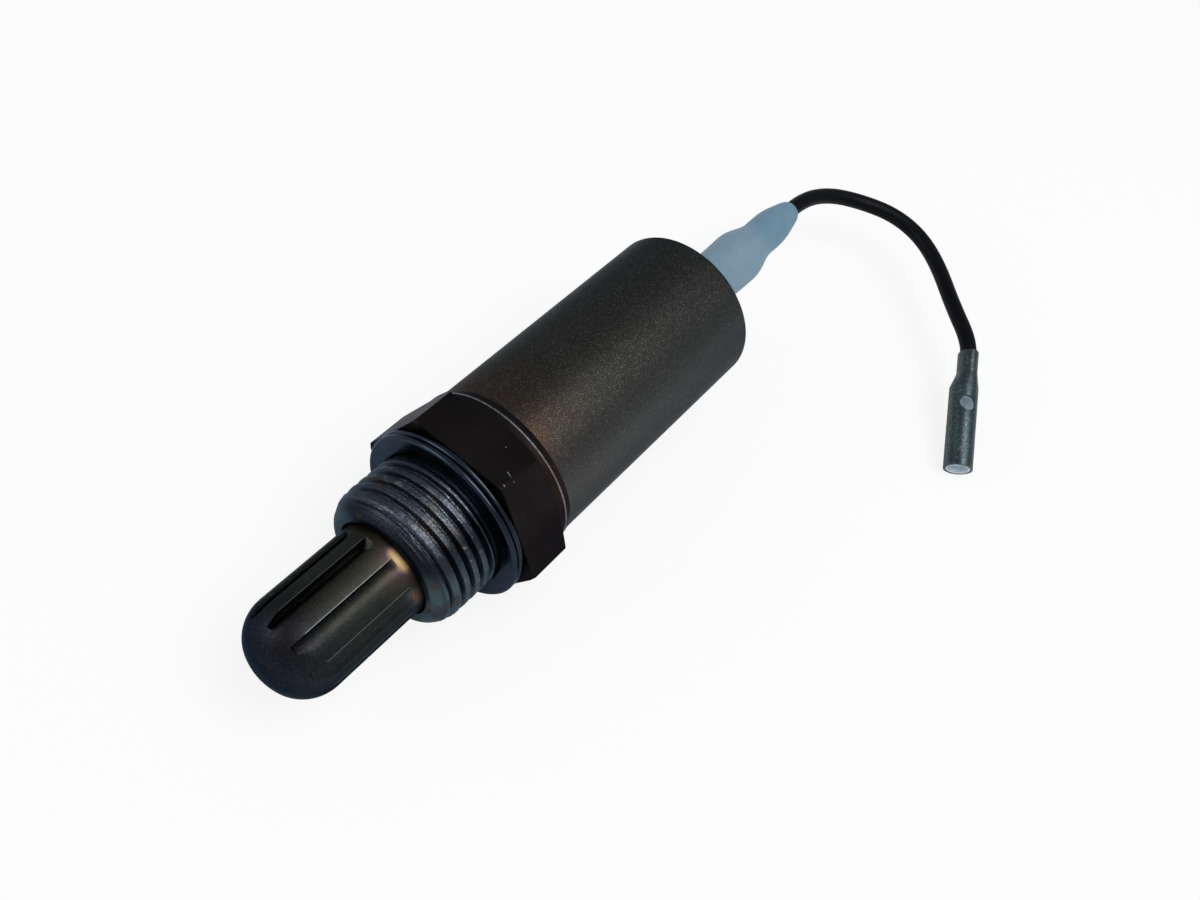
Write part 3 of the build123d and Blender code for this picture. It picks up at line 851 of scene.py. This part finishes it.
def envelope_r(station):
    """The largest radius that the nose's round leaves the thread."""
    reach = (nose_station + nose_length - station) / nose_length
    if reach <= 0:
        return shank_r
    return nose_face_r + (shank_r - nose_face_r) * sqrt(max(0.0, 1 - reach * reach))


def soft_min(first, second, width):
    """The smaller of two lengths, eased over a width where they meet."""
    meet = max(width - abs(first - second), 0) / width
    return min(first, second) - meet * meet * width / 4


def coated_r(place, radius, begin):
    """A thread point's radius with its paste and lumps, run into the nose and the groove."""
    filled = paste_fill * (0.5 + 0.5 * cos(atan2(place.y, place.z) - paste_turn)) ** 3
    filled *= paste_middle + paste_drift * noise.noise(place * paste_drift_scale)
    pasted = -soft_min(-radius, -(thread_root_r + filled), joint_width)
    lumps = sum(noise.noise(place * scale) * height for scale, height in paste_lumps)
    start_fade = clamp((place.x - begin) / thread_fade_in)
    shaped = soft_min(pasted, envelope_r(place.x), joint_width) + lumps * start_fade
    shaped = min(shaped, shank_r - crest_clearance)
    shaped = thread_root_r + (shaped - thread_root_r) * start_fade
    end_fade = eased(clamp((thread_end - place.x) / thread_fade_out))
    return shank_join_r + (shaped - shank_join_r) * end_fade


def thread_surface(bm):
    """The real thread: one pitch of profile, spun forward along the axis."""
    begin = nose_arc()[-1].x
    turns = round((shank_join - begin) / thread_pitch) + 3
    first = begin - 2 * thread_pitch
    row = []
    for k in range(thread_rows + 1):
        across = thread_pitch * k / thread_rows
        radius = thread_r(min(across, thread_pitch - across))
        row.append(bm.verts.new(Vector((first + across, 0, radius)) * MM))
    edges = [bm.edges.new(pair) for pair in zip(row, row[1:])]
    bmesh.ops.spin(
        bm,
        geom=row + edges,
        cent=(0, 0, 0),
        axis=(1, 0, 0),
        dvec=(thread_pitch / thread_steps * MM, 0, 0),
        angle=2 * pi * turns,
        steps=thread_steps * turns,
    )
    bmesh.ops.remove_doubles(bm, verts=bm.verts, dist=spin_weld_gap)
    for cut, side in ((begin, -1), (thread_end, 1)):
        bmesh.ops.bisect_plane(
            bm,
            geom=bm.verts[:] + bm.edges[:] + bm.faces[:],
            dist=weld_gap,
            plane_co=(cut * MM, 0, 0),
            plane_no=(side, 0, 0),
            clear_outer=True,
        )
    for vert in bm.verts:
        radius = sqrt(vert.co.y ** 2 + vert.co.z ** 2) / MM
        share = coated_r(vert.co / MM, radius, begin) / radius
        vert.co.y *= share
        vert.co.z *= share


def turned_body(bm):
    """The rest of the housing: an outline spun round the axis, then drawn out to the hexagon."""
    index = bm.verts.layers.int.new("ring")  # which point of the outline a vertex is, from 1
    row = []
    for k, point in enumerate(housing_outline(hexagon_r(0)) + nose_arc()):
        vert = bm.verts.new((point.x * MM, 0, point.y * MM))
        vert[index] = k + 1
        row.append(vert)
    edges = [bm.edges.new(pair) for pair in zip(row, row[1:])]
    bmesh.ops.spin(
        bm,
        geom=row + edges,
        cent=(0, 0, 0),
        axis=(1, 0, 0),
        angle=2 * pi,
        steps=lathe_steps,
        use_merge=True,
    )
    outlines = {}
    for vert in bm.verts:
        if not vert[index]:
            continue
        turn = atan2(vert.co.y, vert.co.z)
        step = round(turn / (2 * pi) * lathe_steps)
        if step not in outlines:
            outlines[step] = housing_outline(hexagon_r(step * 2 * pi / lathe_steps)) + nose_arc()
        point = outlines[step][vert[index] - 1]
        vert.co = Vector((point.x, point.y * sin(turn), point.y * cos(turn))) * MM


def make_housing(finishes):
    """The housing with its real thread, nose, hexagon, collar and crimped lip."""
    bm = bmesh.new()
    thread_surface(bm)
    ends = [edge for edge in bm.edges if edge.is_boundary]
    turned_body(bm)
    ends += [edge for edge in bm.edges if edge.is_boundary and edge not in ends]
    middle = nose_station / 2 * MM
    front = [edge for edge in ends if edge.verts[0].co.x < middle]
    rear = [edge for edge in ends if edge.verts[0].co.x >= middle]
    bmesh.ops.bridge_loops(bm, edges=rear)
    bmesh.ops.bridge_loops(bm, edges=front)
    for face in bm.faces:
        spot = face.calc_center_median() / MM
        outside = sqrt(spot.y ** 2 + spot.z ** 2) > nose_bore_r + paste_bore_margin
        face.material_index = int(outside and spot.x < hex_front - paste_face_margin)
    link_piece(bm, "housing_body", "housing", finishes)


# ---------------------------------------------------------------- lead

lead_d = 2.3
lead_points = [
    (74.7, 0, 0),
    (78.4, 0, 0),
    (83.9, -1.8, -1.1),
    (88.05, -5.65, -2.3),
    (90.15, -10.7, -2.6),
    (89.85, -15.8, -3.0),
    (87.25, -20.75, -3.5),
    (81.35, -26.7, -3.5),
    (77.25, -31.81, -3.77),
    (75.595, -32.802, -4.321),
]


def make_lead(finish):
    """The free lead, from the grommet's mouth to the connector's neck."""
    curve = bpy.data.curves.new("lead_wire", "CURVE")
    curve.dimensions = "3D"
    spline = curve.splines.new("NURBS")
    spline.points.add(len(lead_points) - 1)
    for point, place in zip(spline.points, lead_points):
        point.co = (*(Vector(place) * MM), 1)
    spline.order_u = 3
    spline.use_endpoint_u = True
    spline.resolution_u = 24
    curve.bevel_depth = lead_d / 2 * MM
    curve.bevel_resolution = 12
    curve.use_fill_caps = True
    curve.materials.append(finish)
    wire = bpy.data.objects.new("lead_wire", curve)
    scene.collection.objects.link(wire)
    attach(wire, "root")
    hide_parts("lead")
    return wire


# ---------------------------------------------------------------- floor and light

floor_half = 3  # metres
floor_gap = 0.00002
floor_glow = 0.85  # share of plain white in what the camera sees of it
studio_strength = 0.78


def make_floor():
    """Pale floor that keeps the sensor's soft shadow."""
    bm = bmesh.new()
    bmesh.ops.create_grid(bm, x_segments=1, y_segments=1, size=floor_half)
    floor_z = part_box("seal_ring")[0].z
    bmesh.ops.translate(bm, verts=bm.verts, vec=(0, 0, floor_z - floor_gap))
    mesh = bpy.data.meshes.new("floor")
    bm.to_mesh(mesh)
    bm.free()
    material = bpy.data.materials.new("floor_paper")
    material.use_nodes = True
    tree = material.node_tree
    tree.nodes.clear()
    paper = put(tree, "ShaderNodeBsdfDiffuse", {"Color": (0.86, 0.86, 0.86, 1)})
    white = put(tree, "ShaderNodeEmission", {"Color": (1, 1, 1, 1), "Strength": 1.0})
    rays = put(tree, "ShaderNodeLightPath")
    share = times(tree, rays.outputs["Is Camera Ray"], floor_glow)
    mix = put(tree, "ShaderNodeMixShader", {0: share, 1: paper.outputs[0], 2: white.outputs[0]})
    out = put(tree, "ShaderNodeOutputMaterial")
    tree.links.new(mix.outputs[0], out.inputs["Surface"])
    mesh.materials.append(material)
    floor = bpy.data.objects.new("floor", mesh)
    scene.collection.objects.link(floor)


def make_world():
    """White backdrop for the camera, and a studio that darkens overhead for everything else."""
    world = bpy.data.worlds.new("studio")
    scene.world = world
    world.use_nodes = True
    tree = world.node_tree
    tree.nodes.clear()
    way = put(tree, "ShaderNodeTexCoord").outputs["Generated"]
    height = put(tree, "ShaderNodeSeparateXYZ", {"Vector": way}).outputs["Z"]
    room = colour_run(
        tree,
        height,
        [
            (0.0, 0.60, 0.64, 0.70),
            (0.25, 0.52, 0.56, 0.62),
            (0.6, 0.40, 0.42, 0.46),
            (1.0, 0.34, 0.35, 0.37),
        ],
    )
    studio = put(tree, "ShaderNodeBackground", {"Color": room, "Strength": studio_strength})
    white = put(tree, "ShaderNodeBackground", {"Color": (1, 1, 1, 1), "Strength": 1.0})
    rays = put(tree, "ShaderNodeLightPath")
    seen = more_of(tree, rays.outputs["Is Camera Ray"], rays.outputs["Is Transmission Ray"])
    mix = put(tree, "ShaderNodeMixShader", {0: seen, 1: studio.outputs[0], 2: white.outputs[0]})
    out = put(tree, "ShaderNodeOutputWorld")
    tree.links.new(mix.outputs[0], out.inputs["Surface"])


def make_lamp(name, place, aim, size, power, colour=(1, 1, 1)):
    """A square area lamp, its places in metres and its power in watts."""
    data = bpy.data.lights.new(name, "AREA")
    data.size = size
    data.energy = power
    data.color = colour
    lamp = bpy.data.objects.new(name, data)
    lamp.location = place
    lamp.rotation_euler = (Vector(aim) - Vector(place)).to_track_quat("-Z", "Y").to_euler()
    scene.collection.objects.link(lamp)


# ---------------------------------------------------------------- build

scene.view_settings.view_transform = "Standard"
make_camera()
axis_place = make_axis_place()
grain = make_grain()
scuffs = make_scuffs()
lathe_marks = make_lathe_marks()
near = make_near()
louvre_place = make_louvre_place()

jacket = lead_jacket()
make_housing([black_steel(), pasted_thread()])
lead_wire = make_lead(jacket)

finish_node("protection_tube", tempered_steel())
finish_node("seal_ring", zinc_steel())
finish_node("protective_sleeve", sleeve_steel())
finish_node("grommet", pale_bush())
finish_node("butt_connector", plated_copper())
finish_node("inner_lead", jacket)
bare_metal = plain_metal("plain_steel", (0.35, 0.35, 0.35), (0.55, 0.55, 0.55))
for name in ("seat_ring", "contact_element", "disc_spring", "ferrule"):
    finish_node(name, bare_metal)
copper = plain_metal("copper", (0.5, 0.26, 0.16), (0.7, 0.42, 0.28))
for name in ("inner_strands", "end_strands"):
    finish_node(name, copper)
# A dark colour for the ceramic thimble.
dark_thimble_ceramic = fired_ceramic("zirconia", (0.045, 0.044, 0.041), (0.075, 0.073, 0.068))
finish_node("sensor_ceramic", dark_thimble_ceramic)
clean = fired_ceramic("alumina", (0.78, 0.77, 0.73), (0.88, 0.87, 0.84))
finish_node("insulating_tube", clean)

make_floor()
make_world()
lamp_aim = (0.03, -0.01, 0)
make_lamp("key", (0.05, -0.24, 0.52), lamp_aim, size=0.4, power=2.4)
make_lamp("fill", (-0.35, 0.35, 0.30), lamp_aim, size=0.3, power=0.8, colour=(0.9, 0.95, 1.0))
